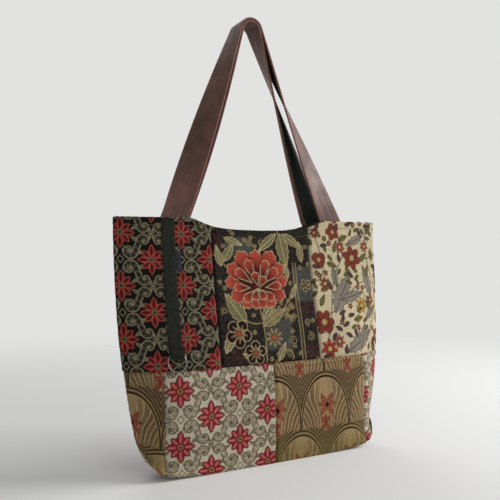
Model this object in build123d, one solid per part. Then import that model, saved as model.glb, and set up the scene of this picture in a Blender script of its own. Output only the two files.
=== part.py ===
from build123d import *
import math
import os

# A shoulder bag of patchwork furnishing cloth, as it hangs: flat back, bulging front, two long leather
# handles brought together over a peg. X runs along the mouth, the front faces -Y, Z is up from the flat base.

# Body
mouth_width = 400
body_height = 318
body_depth = 68
belly_height = 58
mouth_lean = 39
front_tuck = 2
back_tuck = 28
taper_height = 255
base_taper_share = 0.146
base_round_power = 3
mouth_power, belly_power, base_power = 3.5, 7.0, 9.0
side_inset_share = 3
section_height_shares = (0, 0.015, 0.04, 0.08, 0.13, 0.18, 0.23, 0.29, 0.37, 0.5, 0.66, 0.82, 1)
section_spans = 12

# Patchwork: two bands of patches, one set half a patch along from the other
patch_width = 150
band_seam_height = 129
cloth_wall = 2.2
rim_dip = 15
dip_place_shares = (-1, -0.68, -0.33, 0, 0.33, 0.68, 1)
dip_depth_shares = (0, 0.74, 0.96, 1, 0.96, 0.74, 0)
upper_split_depth = 19.5
base_split_depth = -12

# Inside: a turned facing at the rim, with a lining below it
layer_gap = 0.15
facing_height = 42
facing_wall = 4.4
lining_wall = 1

# Handles: a leather strip with its long edges turned in, and a tape between the two turned edges
strap_width = 35
leather_thickness = 1.4
turned_edge = 6.3
tape_thickness = 1.1
tape_gap = 0.15
front_spread = 248
back_spread = 204
back_shift = 8
strap_tuck = 28
strap_stand = 9
strap_clearance = 0.3
peg_radius = 11
peg_rise = 250
peg_shift = 20
peg_depth = 13
pair_gap = 0.3
leg_steps = 6

# Key ribbon with a ring in its loop, and the small bare tab beside it
ribbon_width = 17
ribbon_thickness = 0.9
ribbon_place = 133.5
ribbon_gap = 0.25
ribbon_steps = 9
loop_height = 150.5
loop_slack = 0.45
loop_top = 2.6
loop_lap = 1.1
loop_front_angle = 15
ring_room = 1.8
ring_wire = 2.2
tab_width = 7
tab_height = 26
tab_top = 276
tab_thickness = 0.8

overrun = 20
slope_step = 0.5
full_turn = 360
front_side, back_side = -1, 1


def smooth_step(share):
    """Ease from 0 to 1 with no kink at either end."""
    return share * share * (3 - 2 * share)


def section_sizes(height, inset):
    """Half width, front, back and roundness power of the body at one height, drawn in by the inset."""
    below = max(0, 1 - height / belly_height)
    above = smooth_step(min(1, max(0, (height - belly_height) / (body_height - belly_height))))
    taper = max(0, 1 - height / taper_height)
    half_width = mouth_width / 2 * (1 - base_taper_share * taper**2) - inset * side_inset_share
    front = -body_depth / 2 + mouth_lean * above + front_tuck * below**base_round_power + inset
    back = body_depth / 2 - back_tuck * below**base_round_power - inset
    power = belly_power + (base_power - belly_power) * below**2 + (mouth_power - belly_power) * above
    return half_width, front, back, power


def wall_point(across, height, side, inset=0):
    """The point of the body's front or back wall at one place across and one height.

    The two walls stand furthest apart in the middle and close to a fold at each side, by a power of the place.
    """
    half_width, front, back, power = section_sizes(height, inset)
    fullness = 1 - min(1, abs(across) / half_width) ** power
    return Vector(across, (front + back) / 2 + side * (back - front) / 2 * fullness, height)


def wall_frame(across, height, side):
    """A point of the wall with its unit directions along X, up the wall and outward."""
    right, left = (wall_point(across + step, height, side) for step in (slope_step, -slope_step))
    above, below = (wall_point(across, height + step, side) for step in (slope_step, -slope_step))
    along = (right - left).normalized()
    up = (above - below).normalized()
    return wall_point(across, height, side), along, up, along.cross(up) * -side


def section_wire(height, inset):
    """One closed level outline: a front curve and a back curve that meet at the side folds."""
    half_width = section_sizes(height, inset)[0]
    places = [half_width * (2 * span / section_spans - 1) for span in range(section_spans + 1)]
    walls = []
    for side in (front_side, back_side):
        walls.append(Edge.make_spline([wall_point(place, height, side, inset) for place in places]))
    return Wire(walls)


def body_loft(inset, bottom, top):
    """The solid of the body drawn in by the inset, from one height to another."""
    between = [share * body_height for share in section_height_shares]
    heights = [bottom] + [height for height in between if bottom < height < top] + [top]
    return Solid.make_loft([section_wire(height, inset) for height in heights])


def slab(low, high):
    """A block between two X planes, larger than the bag in the other directions."""
    block = Box(high - low, 2 * mouth_width, 2 * (body_height + mouth_width))
    return Pos((low + high) / 2, 0, 0) * block


def level(low, high):
    """A block between two heights, larger than the bag in the other directions."""
    return Pos(0, 0, (low + high) / 2) * Box(2 * mouth_width, 2 * mouth_width, high - low)


def half_space(side):
    """Everything before or behind the sloping plane through the side seams and the base seam."""
    slope = (upper_split_depth - base_split_depth) / body_height
    low_depth = base_split_depth - slope * overrun
    high_depth = upper_split_depth + slope * overrun
    far = side * mouth_width
    top = body_height + overrun
    outline = [(far, -overrun), (low_depth, -overrun), (high_depth, top), (far, top)]
    return extrude(Plane.YZ * make_face(Polyline(*outline, close=True)), mouth_width, both=True)


def rim_cut():
    """The air above the rim, which dips between the handles."""
    reach = front_spread / 2 - strap_width / 2
    dips = zip(dip_place_shares, dip_depth_shares)
    points = [(place * reach, body_height - depth * rim_dip) for place, depth in dips]
    top = body_height + overrun
    edge = Spline(*points)
    lid = Polyline(points[-1], (mouth_width, body_height), (mouth_width, top), (-mouth_width, top),
                   (-mouth_width, body_height), points[0])
    return extrude(Plane.XZ * make_face([edge, lid]), mouth_width, both=True)


def layer(inset, wall, bottom, top):
    """One closed-bottomed layer of the bag: the body at one inset less the body a wall further in."""
    outside = body_loft(inset, inset + bottom, top)
    inside = body_loft(inset + wall, inset + bottom + wall, top + overrun)
    return outside - inside


def patches():
    """The sewn patches: each takes a stretch of the front wall, of the back wall, or of both round a side."""
    shell = layer(0, cloth_wall, 0, body_height) - rim_cut()
    lower = shell & level(-overrun, band_seam_height)
    upper = shell & level(band_seam_height, body_height + overrun)
    edge = mouth_width
    half = patch_width / 2
    turn_back = mouth_width - patch_width - half
    low_right = mouth_width - 2 * patch_width
    low_left = low_right - patch_width
    before, behind = half_space(front_side), half_space(back_side)
    front_pieces = {
        "rose_patch_front": (upper, -half, half),
        "arch_patch_left": (lower, -edge, -patch_width),
        "cream_star_patch_front": (lower, -patch_width, 0),
        "arch_patch_front": (lower, 0, patch_width),
    }
    back_pieces = {
        "dark_star_patch_back": (upper, 0, turn_back),
        "rose_patch_back": (upper, -turn_back, 0),
        "arch_patch_back": (lower, low_left, low_right),
        "cream_star_patch_back": (lower, -edge, low_left),
    }
    pieces = {name: band & slab(low, high) & before for name, (band, low, high) in front_pieces.items()}
    pieces.update({name: band & slab(low, high) & behind for name, (band, low, high) in back_pieces.items()})
    pieces["dark_star_patch_left"] = (upper & slab(-edge, -half)) - (slab(-turn_back, 0) & behind)
    pieces["vine_patch_right"] = (upper & slab(half, edge)) - (slab(0, turn_back) & behind)
    pieces["cream_star_patch_right"] = (lower & slab(low_right, edge)) - (slab(0, patch_width) & before)
    return pieces


def strap_place(end, side, spread):
    """Where a strap end leaves the rim: its middle point, its direction upward and its outward normal."""
    across = end * spread / 2 - (back_shift if side == back_side else 0)
    height = body_height
    point, along, up, outward = wall_frame(across, height - strap_tuck / 2, side)
    peg_side = peg_centre() + Vector(end * peg_radius, 0, 0)
    lean = (peg_side.X - across) / (peg_side.Z - height)
    direction = (up + along * lean).normalized()
    depth = cloth_wall + strap_clearance + leather_thickness
    return point + direction * (strap_tuck / 2) - outward * depth, direction, outward


def peg_centre():
    """Middle of the peg that both handles hang over."""
    return Vector(-peg_shift, peg_depth, body_height + peg_rise)


def leg_stations(end, side, spread, bend_radius):
    """Points, upward directions and leather-side normals of one leg of a handle, from the rim to the peg.

    The leg turns a quarter as it rises, so that the strap stands flat on the rim and lies flat over the peg.
    """
    centre = peg_centre()
    rim_point, direction, outward = strap_place(end, side, spread)
    start = rim_point + direction * strap_stand
    reach = Vector(start.X - centre.X, 0, start.Z - centre.Z)
    turn = math.atan2(reach.Z, reach.X) + end * math.acos(bend_radius / reach.length)
    radial = Vector(math.cos(turn), 0, math.sin(turn))
    tangent = Vector(-radial.Z, 0, radial.X) * end
    finish = centre + radial * bend_radius
    stations = []
    for step in range(leg_steps + 1):
        share = step / leg_steps
        quarter = share * math.pi / 2
        normal = outward * math.cos(quarter) + radial * -side * math.sin(quarter)
        stations.append((start + (finish - start) * share, direction * (1 - share) + tangent * share, normal))
    return stations, turn


def strap_wire(station, outline, end):
    """An outline of (across, out) places set square across the strap at one station."""
    point, direction, normal = station
    rising = direction.normalized()
    out = (normal - rising * normal.dot(rising)).normalized()
    across = rising.cross(out) * -end
    return Wire.make_polygon([point + across * place + out * rise for place, rise in outline])


def strap_tuck_stations(station, below, above):
    """The straight end of a strap at the rim, from below the rim to above it."""
    point, direction, normal = station
    return [(point - direction * below, direction, normal), (point + direction * above, direction, normal)]


def strap_solid(side, spread, bend_radius, outline):
    """One strip of a handle: both sewn-in ends, both turning legs and the bend over the peg."""
    legs, turns = [], []
    for end in (-1, 1):
        stations, turn = leg_stations(end, side, spread, bend_radius)
        turns.append(math.degrees(turn) % full_turn)
        straight = strap_tuck_stations(stations[0], strap_tuck + strap_stand, 0)
        tuck = [strap_wire(station, outline, end) for station in straight]
        leg = [strap_wire(station, outline, end) for station in stations]
        legs += [Solid.make_loft(tuck), Solid.make_loft(leg)]
        if end < 0:
            bend_face = Face(leg[-1])
    bend = revolve(bend_face, Axis(peg_centre(), (0, 1, 0)), turns[0] - turns[1])
    return bend.fuse(*legs)


def leather_outline(room=0):
    """Strip with both long edges turned over onto its inner side; with room, the plain envelope round it."""
    half = strap_width / 2 + room
    if room:
        depth = leather_thickness + room
        return [(-half, -depth), (half, -depth), (half, depth), (-half, depth)]
    channel = half - turned_edge
    return [(-half, -leather_thickness), (-channel, -leather_thickness), (-channel, 0), (channel, 0),
            (channel, -leather_thickness), (half, -leather_thickness), (half, leather_thickness),
            (-half, leather_thickness)]


def tape_outline():
    """The tape that lies in the channel between the two turned edges."""
    half = strap_width / 2 - turned_edge - tape_gap
    return [(-half, -tape_gap - tape_thickness), (half, -tape_gap - tape_thickness), (half, -tape_gap),
            (-half, -tape_gap)]


def handles():
    """Both handles, with the outer one over the inner one on the peg, tape to tape."""
    inner_bend = peg_radius + leather_thickness
    outer_bend = inner_bend + 2 * leather_thickness + pair_gap
    pieces = {}
    for name, side, spread, bend in (("front", front_side, front_spread, outer_bend),
                                     ("back", back_side, back_spread, inner_bend)):
        pieces[name + "_handle_leather"] = strap_solid(side, spread, bend, leather_outline())
        pieces[name + "_handle_tape"] = strap_solid(side, spread, bend, tape_outline())
    return pieces


def strap_pockets():
    """The room that the four sewn-in strap ends take under the facing."""
    rooms = []
    envelope = leather_outline(strap_clearance)
    for side, spread in ((front_side, front_spread), (back_side, back_spread)):
        for end in (-1, 1):
            station = strap_place(end, side, spread)
            ends = strap_tuck_stations(station, strap_tuck + strap_clearance, overrun)
            rooms.append(Solid.make_loft([strap_wire(place, envelope, end) for place in ends]))
    return rooms


def inside_layers():
    """Facing band at the rim with pockets for the strap ends, and the two lining panels below it."""
    inset = cloth_wall + layer_gap
    facing_bottom = body_height - facing_height
    facing = layer(inset, facing_wall, 0, body_height) & level(facing_bottom, body_height + overrun)
    facing = facing - rim_cut()
    for room in strap_pockets():
        facing = facing - room
    lining = layer(inset, lining_wall, 0, facing_bottom - layer_gap)
    return {
        "rim_facing": facing,
        "lining_front": lining & half_space(front_side),
        "lining_back": lining & half_space(back_side),
    }


def wall_strip(low_across, high_across, bottom, top, thickness):
    """A thin strip laid on the front wall, from one place across to another and from one height to another."""
    faces = []
    heights = [bottom + (top - bottom) * step / ribbon_steps for step in range(ribbon_steps + 1)]
    for across in (low_across, high_across):
        inner, outer = [], []
        for height in heights:
            point, along, up, outward = wall_frame(across, height, front_side)
            square = Vector(0, -up.Z, up.Y).normalized()
            inner.append(point + square * ribbon_gap)
            outer.append(point + square * (ribbon_gap + thickness))
        rim = [Edge.make_spline(inner), Edge.make_line(inner[-1], outer[-1]), Edge.make_spline(outer),
               Edge.make_line(outer[0], inner[0])]
        faces.append(Wire(rim))
    return Solid.make_loft(faces, ruled=True)


def loop_plane():
    """Plane across the ribbon at its loop: x outward from the wall, y up the wall."""
    point, along, up, outward = wall_frame(-ribbon_place, loop_height, front_side)
    return Plane(origin=point, x_dir=outward, z_dir=along * -1)


def ring_pivot_out():
    """How far the top of the ring's wire stands off the wall, inside the loop."""
    return ribbon_gap + ribbon_thickness + loop_slack + ring_wire / 2


def ring_radius():
    """Radius to the middle of the ring's wire, which clears the ribbon's two edges."""
    return ribbon_width / 2 + ring_room + ring_wire / 2


def loop_radius():
    """Inner radius of the loop, which the ring's wire sweeps when the ring is lifted."""
    inside = ring_radius() - ring_wire / 2
    return ring_radius() - math.sqrt(inside**2 - (ribbon_width / 2) ** 2) + loop_slack


def loop_face(back, radius, top):
    """One outline of the loop: up the wall, over to the front and round the bottom about the ring's pivot."""
    pivot = ring_pivot_out()
    low = -math.sqrt(radius**2 - (pivot - back) ** 2)
    front_turn = math.radians(loop_front_angle)
    front = (pivot + radius * math.cos(front_turn), radius * math.sin(front_turn))
    low_turn = math.atan2(low, back - pivot)
    mid_turn = (low_turn + front_turn) / 2
    middle = (pivot + radius * math.cos(mid_turn), radius * math.sin(mid_turn))
    sides = Polyline(front, (back + ribbon_thickness, top), (back, top), (back, low))
    return make_face([sides, ThreePointArc((back, low), middle, front)])


def key_ribbon():
    """The ribbon on the front wall, turned over the rim at its top and into a stitched loop at its foot."""
    half = ribbon_width / 2
    strip = wall_strip(-ribbon_place - half, -ribbon_place + half, loop_height, body_height, ribbon_thickness)
    outer = loop_face(ribbon_gap, loop_radius() + ribbon_thickness, loop_top + loop_lap)
    hollow = loop_face(ribbon_gap + ribbon_thickness, loop_radius(), loop_top)
    loop = extrude(loop_plane() * (outer - hollow), half, both=True)
    return strip + loop


def key_ring():
    """The round wire ring that hangs in the ribbon's loop."""
    plane = loop_plane()
    centre = plane.from_local_coords((ring_pivot_out(), -ring_radius(), 0))
    return Plane(origin=centre, z_dir=plane.x_dir) * Torus(ring_radius(), ring_wire / 2)


def bare_tab():
    """The small plain tab sewn beside the ribbon."""
    start = -ribbon_place + ribbon_width / 2 + ribbon_gap
    return wall_strip(start, start + tab_width, tab_top - tab_height, tab_top, tab_thickness)


def all_pieces():
    """Every piece of the bag by name."""
    pieces = patches()
    pieces.update(inside_layers())
    pieces.update(handles())
    pieces["key_ribbon"] = key_ribbon()
    pieces["key_ring"] = key_ring()
    pieces["bare_tab"] = bare_tab()
    return pieces


os.makedirs("parts", exist_ok=True)
for node, piece in all_pieces().items():
    export_step(piece, f"parts/{node}.step")
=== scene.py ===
import math

import bpy
import numpy as np
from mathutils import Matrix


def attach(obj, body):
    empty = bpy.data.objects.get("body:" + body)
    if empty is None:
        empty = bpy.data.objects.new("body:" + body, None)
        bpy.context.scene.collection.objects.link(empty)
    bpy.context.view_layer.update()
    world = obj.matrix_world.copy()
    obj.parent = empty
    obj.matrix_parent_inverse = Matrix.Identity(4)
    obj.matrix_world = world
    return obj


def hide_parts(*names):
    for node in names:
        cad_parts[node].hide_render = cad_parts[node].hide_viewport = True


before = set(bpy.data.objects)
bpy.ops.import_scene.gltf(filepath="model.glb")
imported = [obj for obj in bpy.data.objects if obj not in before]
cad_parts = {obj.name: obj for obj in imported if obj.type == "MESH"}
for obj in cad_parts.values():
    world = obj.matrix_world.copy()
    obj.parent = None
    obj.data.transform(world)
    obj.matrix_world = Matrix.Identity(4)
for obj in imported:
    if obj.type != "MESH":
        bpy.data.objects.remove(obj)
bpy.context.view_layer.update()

# Dark star patches: black jacquard furnishing cloth with red eight-petalled stars between grey scrolls.
# One piece is sewn in at the upper left and turns round the side, one is on the back.
# Each patch is cut flat, sewn to its neighbours with the edges turned in, and takes the bag's bulged form.
MM = 0.001
BODY_HEIGHT, HALF_MOUTH, HALF_DEPTH = 318.0, 200.0, 34.0
BELLY_HEIGHT, TAPER_HEIGHT, BASE_TAPER_SHARE = 58.0, 255.0, 0.146
MOUTH_LEAN, FRONT_TUCK, BACK_TUCK = 39.0, 2.0, 28.0
BELLY_POWER, FOOT_POWER, CORNER_POWER, MOUTH_POWER = 7.0, 2.0, 16.0, 3.5
HALF_DIP, RIM_DIP = 102.5, 15.0
FOOT_RISE, FOLD_RISE, FOOT_REACH, FOLD_REACH = 7.0, 24.0, 45.0, 90.0
SIDE_INSET = 3.0
BAND_SEAM = 129.0
SOLE_SEAM, SOLE_RUN = -12.0, 26.0
FOLD = 999.0
FRONT, BACK = -1, 1
CLOTH_WALL = 2.2


def ease(share):
    """Smooth step: share squared times three less twice the share, held between 0 and 1."""
    share = np.clip(share, 0, 1)
    return share * share * (3 - 2 * share)


def half_width(z, inset=0.0):
    """Half the bag's width at a height: 200 mm, less 15 percent of the squared taper towards the base."""
    taper = np.clip(1 - z / TAPER_HEIGHT, 0, None) ** 2
    return HALF_MOUTH * (1 - BASE_TAPER_SHARE * taper) - SIDE_INSET * inset


def body_wall(x, z, side, inset=0.0):
    """Depth of the front or back wall: the middle of the two, and half their distance times a fullness.

    The fullness is one less the share of the half width raised to a power: the walls meet at the folds.
    """
    below = np.clip(1 - z / BELLY_HEIGHT, 0, None)
    above = ease((z - BELLY_HEIGHT) / (BODY_HEIGHT - BELLY_HEIGHT))
    front = -HALF_DEPTH + MOUTH_LEAN * above + FRONT_TUCK * below**3 + inset
    back = HALF_DEPTH - BACK_TUCK * below**3 - inset
    power = BELLY_POWER + FOOT_POWER * below**2 + CORNER_POWER * below**6 - MOUTH_POWER * above
    full = 1 - np.clip(np.abs(x) / half_width(z, inset), 0, 1) ** power
    return (front + back) / 2 + side * (back - front) / 2 * full


def rim_height(x):
    """Height of the rim: level at the sides, and 15 mm lower in a smooth dip between the handles."""
    place_shares = np.array([-1, -0.84, -0.68, -0.5, -0.33, 0, 0.33, 0.5, 0.68, 0.84, 1])
    depth_shares = np.array([0, 0.42, 0.74, 0.9, 0.96, 1, 0.96, 0.9, 0.74, 0.42, 0])
    return BODY_HEIGHT - np.interp(x, place_shares * HALF_DIP, depth_shares * RIM_DIP)


def run_columns(runs, step):
    """Columns of a patch from left to right as seen from outside: side, start, finish and share of each."""
    columns = []
    for place, (side, start, finish) in enumerate(runs):
        wide = abs(np.clip(finish, -HALF_MOUTH, HALF_MOUTH) - np.clip(start, -HALF_MOUTH, HALF_MOUTH))
        shares = np.linspace(0, 1, max(6, int(wide / step)))
        shares = shares**1.3 if abs(start) == FOLD else shares
        shares = 1 - (1 - shares) ** 1.3 if abs(finish) == FOLD else shares
        shares = shares[1:] if place else shares
        columns += [(side, start, finish, share) for share in shares]
    return np.array(columns).T


def place_across(columns, z):
    """X of each column at each height: from the start to the finish, either of which may be the side fold."""
    side, start, finish, share = columns
    edge = half_width(z)
    low, high = np.clip(start, -edge, edge), np.clip(finish, -edge, edge)
    return low + (high - low) * share


def wall_grid(runs, upward, step):
    """Points of a patch, in rows from the band seam: up over the rim, or down the wall and along the sole."""
    columns = run_columns(runs, step)
    side = columns[0]
    top = rim_height(place_across(columns, BODY_HEIGHT)) - CLOTH_WALL / 2
    if upward:
        shares = np.linspace(0, 1, int((BODY_HEIGHT - BAND_SEAM) / step))[:, None]
        z = BAND_SEAM + (top - BAND_SEAM) * shares
        inset = np.zeros_like(z)
        turn = np.radians(np.array([[30], [60], [90], [120], [150], [180]]))
        roll = CLOTH_WALL / 2
        z = np.vstack([z, top + roll * np.sin(turn), top - 2 + 0 * side, top - 5 + 0 * side])
        inset = np.vstack([inset, roll * (1 - np.cos(turn)) + 0 * side, np.full((2, len(side)), 2 * roll)])
        x = place_across(columns, np.minimum(z, BODY_HEIGHT))
        return np.dstack([x, body_wall(x, np.minimum(z, BODY_HEIGHT), side, inset), z])
    z = BAND_SEAM * (1 - np.linspace(0, 1, int(BAND_SEAM / step)) ** 0.9)[:, None] + 0 * side
    x = place_across(columns, z)
    wall = np.dstack([x, body_wall(x, z, side), z])
    shares = np.linspace(0, 1, int(SOLE_RUN / step))[1:, None]
    depth = wall[-1, :, 1] + (SOLE_SEAM - wall[-1, :, 1]) * shares
    sole = np.dstack([x[-1] + 0 * depth, depth, 0 * depth])
    return np.concatenate([wall, sole])


def corner_rise(points):
    """How far the foot is drawn up, in mm: by the cube of the share of the half width, more at the folds."""
    share = np.clip(np.abs(points[..., 0]) / half_width(points[..., 2]), 0, 1)
    fold = np.clip(1 - points[..., 2] / FOLD_REACH, 0, 1)
    foot = np.clip(1 - points[..., 2] / FOOT_REACH, 0, 1)
    return FOOT_RISE * share**3 * foot**2 + FOLD_RISE * share**20 * fold**2


def surface_normals(points):
    """Unit normals of a grid: the cross product of its slopes along the columns and along the rows."""
    normal = np.cross(np.gradient(points, axis=1), np.gradient(points, axis=0))
    return normal / np.maximum(np.linalg.norm(normal, axis=2, keepdims=True), 1e-9)


def cloth_places(points):
    """Flat places on the cloth in mm: running lengths along the columns and along the rows."""
    along = np.linalg.norm(np.diff(points, axis=1), axis=2)
    up = np.linalg.norm(np.diff(points, axis=0), axis=2)
    along = np.hstack([np.zeros((len(points), 1)), np.cumsum(along, axis=1)])
    up = np.vstack([np.zeros((1, points.shape[1])), np.cumsum(up, axis=0)])
    return along, up


def sewn_form(along, up, upward):
    """How far the cloth stands out in mm: it sinks at a sewn edge, puckers beside it and waves elsewhere."""
    edge = np.minimum(along, along[:, -1:] - along)
    edge = np.minimum(edge, up if upward else np.minimum(up, np.maximum(up[-1:] - up, 0)))
    sink = -1.5 * np.exp(-((edge / 1.5) ** 2)) + 0.5 * np.exp(-(((edge - 5) / 3.5) ** 2))
    pucker = 0.26 * np.exp(-edge / 7) * np.sin((along + up) * 2 * math.pi / 8.5) * (1 - np.exp(-edge))
    waves = 0.8 * np.sin(along / 31 + up / 57 + 1.3) * np.sin(up / 43 - along / 90 + 0.4)
    form = sink + pucker + waves * (1 - np.exp(-edge / 9))
    if upward:
        hem = up[-9] - up
        form += 0.5 * ease((10 - hem) / 3) * (hem > -0.1) - 0.55 * np.exp(-(((hem - 10) / 1.2) ** 2))
        form *= ease(1 + hem / 1.5)
    return form


def hex_colour(code):
    """An sRGB hex colour as linear values: each over 12.92, or its offset raised to 2.4."""
    value = np.array([int(code[place:place + 2], 16) for place in (1, 3, 5)]) / 255
    return np.where(value <= 0.04045, value / 12.92, ((value + 0.055) / 1.055) ** 2.4)


def plain_cloth(u, code):
    """A grid of one colour, with a fourth value for how far the weave stands out in mm."""
    cloth = np.zeros(u.shape + (4,))
    cloth[..., :3] = hex_colour(code)
    return cloth


def inside(distance, blur=0.8):
    """Cover of a shape: 1 inside it and 0 outside, over a soft edge as wide as the blur."""
    return np.clip(0.5 - distance / blur, 0, 1)


def lay(cloth, cover, code, rise=0.0):
    """Weave one colour and one height into the cloth, as far as the cover says."""
    cloth += cover[..., None] * (np.append(hex_colour(code), rise) - cloth)


def near_path(u, v, path, reach=12.0):
    """Distance to a run of straight pieces, and the place along it of the nearest point from 0 to 1."""
    path = np.asarray(path, float)
    best, place = np.full(u.shape, reach), np.zeros(u.shape)
    close = (u > path[:, 0].min() - reach) & (u < path[:, 0].max() + reach)
    close &= (v > path[:, 1].min() - reach) & (v < path[:, 1].max() + reach)
    spot = np.stack([u[close], v[close]], axis=1)
    nearest, where = best[close], place[close]
    for index, (start, finish) in enumerate(zip(path[:-1], path[1:])):
        line = finish - start
        share = np.clip((spot - start) @ line / max(line @ line, 1e-9), 0, 1)
        gap = np.linalg.norm(spot - start - share[:, None] * line, axis=1)
        better = gap < nearest
        nearest = np.where(better, gap, nearest)
        where = np.where(better, (index + share) / (len(path) - 1), where)
    best[close], place[close] = nearest, where
    return best, place


LOWER_EYE, UPPER_EYE = np.array([11.6, 10.6]), np.array([30.0, 24.4])
QUARTER_WIDE, QUARTER_HIGH = 39.5, 33.5


def scroll_path():
    """Centre line of one S-shaped scroll: a spiral that opens, an easy turn, and one that closes."""
    turned = lambda reach, angle: np.stack([reach * np.cos(angle), reach * np.sin(angle)], axis=1)
    spiral = lambda centre, reach, angle: centre + turned(reach, angle)
    turn = np.linspace(0, 2.6 * math.pi, 34)
    opening = 1.0 + 6.8 * turn / turn[-1]
    first = spiral(LOWER_EYE, opening, turn - turn[-1])
    turn = 0.85 * turn
    closing = 5.9 - 4.9 * turn / turn[-1]
    second = spiral(UPPER_EYE, closing, math.pi - turn)
    share = np.linspace(0, 1, 8)[1:-1, None]
    link = first[-1] + (second[0] - first[-1]) * np.hstack([ease(share), share])
    return np.vstack([first, link, second])


def star_petals(u, v, long_u, long_v, short):
    """Distance to an eight-petalled star, and the distance from the middle line of the nearest petal."""
    radius, angle = np.hypot(u, v), np.arctan2(v, u)
    eighth = np.round(angle / (math.pi / 4))
    off = angle - eighth * math.pi / 4
    length = np.where(eighth % 2 == 1, short, np.where(eighth % 4 == 0, long_u, long_v))
    out, across = radius * np.cos(off), np.abs(radius * np.sin(off))
    share = np.clip(out / length, 0, 1)
    width = 4.5 * np.sin(math.pi * share**0.85) ** 0.9
    gap = across - np.minimum(width, out * math.tan(math.pi / 8))
    return np.where(out > length, 9, gap), across, radius


SCROLL_HOOKS = (((19.0, 13.5), -38, 11.5, 5.0), ((21.5, 8.5), 12, 10.0, 4.0), ((24.0, 23.0), 150, 13.0, 5.0),
                ((27.5, 29.5), 200, 9.0, 4.0), ((35.0, 25.0), 60, 7.0, 3.6), ((5.5, 7.0), 110, 8.0, 3.4))


def leaf(cloth, u, v, base, turn, length, width, colours, teeth=0.0):
    """A pointed leaf: its half width is a sine of the share along it; edge, blade, veins and midrib."""
    edge, blade, vein = colours
    angle = math.radians(turn)
    along = ((u - base[0]) * math.cos(angle) + (v - base[1]) * math.sin(angle)) / length
    across = np.abs((v - base[1]) * math.cos(angle) - (u - base[0]) * math.sin(angle))
    half = width / 2 * np.sin(math.pi * np.clip(along, 0, 1) ** 0.8)
    half *= 1 - teeth * np.abs(np.sin(along * 5.5 * math.pi))
    gap = np.where((along < 0) | (along > 1), 9, across - half)
    lay(cloth, inside(gap), edge, 0.35)
    lay(cloth, inside(gap + 1.0), blade, 0.45)
    slant = np.abs((along * length / 4.2 - across / 5.0) % 1 - 0.5)
    lay(cloth, inside(gap + 1.0) * inside(slant - 0.14, 0.16) * 0.8, vein, 0.3)
    lay(cloth, inside(np.maximum(across - 0.55, gap + 0.4)), edge, 0.3)


def star_cloth(u, v, first, repeat, ink):
    """Star and scroll cloth: places are folded into a quarter of the repeat, with a scroll and two stars."""
    wide, high = repeat
    p = np.abs((u - first[0] + wide / 2) % wide - wide / 2) * QUARTER_WIDE / (wide / 2)
    q = np.abs((v - first[1] + high / 2) % high - high / 2) * QUARTER_HIGH / (high / 2)
    cloth = plain_cloth(u, ink["ground"])
    gap, place = near_path(p, q, scroll_path(), 20.0)
    body = 0.5 + 2.9 * np.sin(math.pi * place) ** 1.6
    for base, turn, length, width in SCROLL_HOOKS:
        leaf(cloth, p, q, base, turn, length, width, (ink["line"], ink["shade"], ink["scroll"]))
    hatch = 0.5 + 0.5 * np.sin(place * 120)
    lay(cloth, inside(gap - body), ink["shade"], 0.3)
    lay(cloth, inside(gap - body) * hatch * 0.8, ink["scroll"], 0.35)
    lay(cloth, inside(np.abs(gap - body) - 0.75), ink["line"], 0.4)
    for centre, size in ((LOWER_EYE, 1.5), (UPPER_EYE, 1.4)):
        lay(cloth, inside(np.hypot(p - centre[0], q - centre[1]) - size), ink["line"], 0.3)
    arc = np.hypot(p / 0.82, q) - 17.5
    lay(cloth, inside(np.maximum(np.abs(arc) - 0.5, p - 9.5)) * 0.9, ink["line"], 0.25)
    diamond = np.abs(p) / 4.2 + np.abs(q) / 4.8 - 1
    lay(cloth, inside(np.abs(diamond * 4) - 0.7), ink["line"], 0.2)
    ring = np.hypot(p - QUARTER_WIDE, q - QUARTER_HIGH)
    lay(cloth, inside(ring - 4.0), ink["line"], 0.3)
    lay(cloth, inside(np.abs(ring - 2.4) - 0.5), ink["shade"], 0.2)
    to_side = np.hypot(p - QUARTER_WIDE, q) < np.hypot(p, q - QUARTER_HIGH)
    du, dv = np.where(to_side, p - QUARTER_WIDE, p), np.where(to_side, q, q - QUARTER_HIGH)
    cosine, sine = math.cos(math.pi / 8), math.sin(math.pi / 8)
    between = star_petals(du * cosine - dv * sine, du * sine + dv * cosine, 12.5, 12.5, 12.5)[0]
    star, across, radius = star_petals(du, dv, 18.5, 20.0, 16.5)
    lay(cloth, inside(between - 0.6), ink["star_edge"], 0.2)
    lay(cloth, inside(np.abs(between + 0.4) - 0.35), ink["star_rim"], 0.3)
    lay(cloth, inside(star - 1.0), ink["star_edge"], 0.2)
    lay(cloth, inside(star), ink["star_rim"], 0.4)
    lay(cloth, inside(star + 1.0), ink["star"], 0.4)
    lay(cloth, inside(np.maximum(across - 1.2, star + 1.5)) * (radius > 6), ink["star_vein"], 0.3)
    lay(cloth, inside(radius - 4.0), ink["star_edge"], 0.3)
    lay(cloth, inside(np.abs(radius - 2.5) - 0.8), ink["heart"], 0.5)
    return cloth


def grid_mesh(name, points, flip=False, closed=False):
    """A mesh of four-sided faces between the points of a grid, with smooth shading, in metres."""
    rows, columns = points.shape[:2]
    index = np.arange(rows * columns).reshape(rows, columns)
    index = np.hstack([index, index[:, :1]]) if closed else index
    faces = np.stack([index[:-1, :-1], index[:-1, 1:], index[1:, 1:], index[1:, :-1]], axis=2).reshape(-1, 4)
    mesh = bpy.data.meshes.new(name)
    mesh.from_pydata(points.reshape(-1, 3) * MM, [], faces[:, ::-1] if flip else faces)
    mesh.shade_smooth()
    made = bpy.data.objects.new(name, mesh)
    bpy.context.scene.collection.objects.link(made)
    return made


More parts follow.
